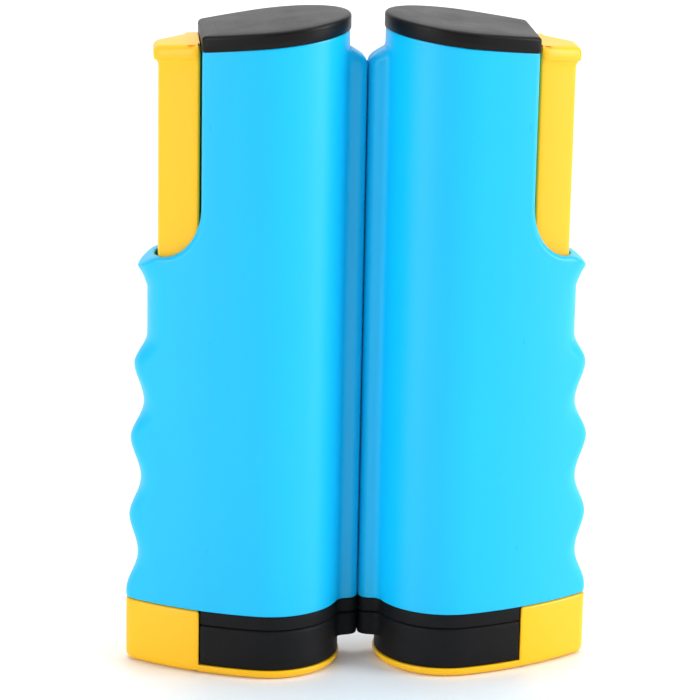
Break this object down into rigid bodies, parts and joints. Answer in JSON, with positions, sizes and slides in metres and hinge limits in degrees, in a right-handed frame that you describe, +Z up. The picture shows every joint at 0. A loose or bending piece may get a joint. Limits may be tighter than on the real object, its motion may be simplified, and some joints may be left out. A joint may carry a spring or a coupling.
{
  "type": "table tennis net clamp",
  "caption": "Retractable table tennis net set: mirrored spring clamp posts that grip a table top, each with a thumb plunger, a sliding lower jaw and a sprung net reel.",
  "frame": {"origin": "on the ground plane under the feet, midway between the two posts, in the plane of the net", "axes": "+X along the net from the left post to the right post, -Y towards the front, +Z up"},
  "size_m": [0.1424, 0.0444, 0.2021],
  "materials": {
    "blue_shell": "semi-gloss injection moulded ABS, sky blue",
    "yellow_plastic": "semi-gloss injection moulded ABS, warm yellow",
    "black_plastic": "satin moulded plastic, black",
    "jaw_rubber": "fine-textured moulded rubber, black",
    "white_plastic": "plain moulded plastic, off-white",
    "spring_steel": "bright drawn spring wire",
    "axle_steel": "plain drawn rod",
    "screw_steel": "zinc-plated, cross recess",
    "net_cord": "knotted polyethylene cord, dark blue",
    "net_tape": "woven cotton tape, white"
  },
  "bodies": {
    "left_post": {"left_housing_front": "blue_shell", "left_housing_back": "blue_shell", "left_top_cap": "black_plastic", "left_upper_jaw_pad": "jaw_rubber", "left_clamp_spring": "spring_steel", "left_axle_rod": "axle_steel", "left_reel_spring": "spring_steel", "left_housing_screws": "screw_steel", "net_span": "net_cord", "net_top_tape": "net_tape"},
    "left_slider": {"left_plunger": "yellow_plastic", "left_foot": "yellow_plastic", "left_lower_jaw_block": "jaw_rubber", "left_foot_screws": "screw_steel"},
    "left_reel": {"left_reel_tube": "white_plastic", "left_reel_lower_plug": "black_plastic", "left_reel_upper_plug": "black_plastic", "left_net_roll": "net_cord"},
    "right_post": {"right_housing_front": "blue_shell", "right_housing_back": "blue_shell", "right_top_cap": "black_plastic", "right_upper_jaw_pad": "jaw_rubber", "right_clamp_spring": "spring_steel", "right_axle_rod": "axle_steel", "right_reel_spring": "spring_steel", "right_housing_screws": "screw_steel"},
    "right_slider": {"right_plunger": "yellow_plastic", "right_foot": "yellow_plastic", "right_lower_jaw_block": "jaw_rubber", "right_foot_screws": "screw_steel"},
    "right_reel": {"right_reel_tube": "white_plastic", "right_reel_lower_plug": "black_plastic", "right_reel_upper_plug": "black_plastic", "right_net_roll": "net_cord"}
  },
  "joints": [
    {"name": "net_pull", "type": "slide", "parent": "left_post", "child": "right_post", "axis": [1, 0, 0], "range_m": [0, 1.7], "stiffness_N_per_m": 2.5, "springref_m": -0.6, "deforming": ["net_span", "net_top_tape"]},
    {"name": "left_clamp_press", "type": "slide", "parent": "left_post", "child": "left_slider", "axis": [0, 0, -1], "range_m": [0, 0.05], "stiffness_N_per_m": 250, "springref_m": -0.06, "deforming": ["left_clamp_spring"]},
    {"name": "right_clamp_press", "type": "slide", "parent": "right_post", "child": "right_slider", "axis": [0, 0, -1], "range_m": [0, 0.05], "stiffness_N_per_m": 250, "springref_m": -0.06, "deforming": ["right_clamp_spring"]},
    {"name": "left_reel_spin", "type": "hinge", "parent": "left_post", "child": "left_reel", "pos_m": [-0.0272, 0, 0.1], "axis": [0, 0, 1], "range_deg": [-4240, 0]},
    {"name": "right_reel_spin", "type": "hinge", "parent": "right_post", "child": "right_reel", "pos_m": [0.0272, 0, 0.1], "axis": [0, 0, 1], "range_deg": [0, 4240]}
  ],
  "couplings": [
    {"joint": "left_reel_spin", "follows": "net_pull", "rad_per_m": -43.5},
    {"joint": "right_reel_spin", "follows": "net_pull", "rad_per_m": 43.5}
  ]
}
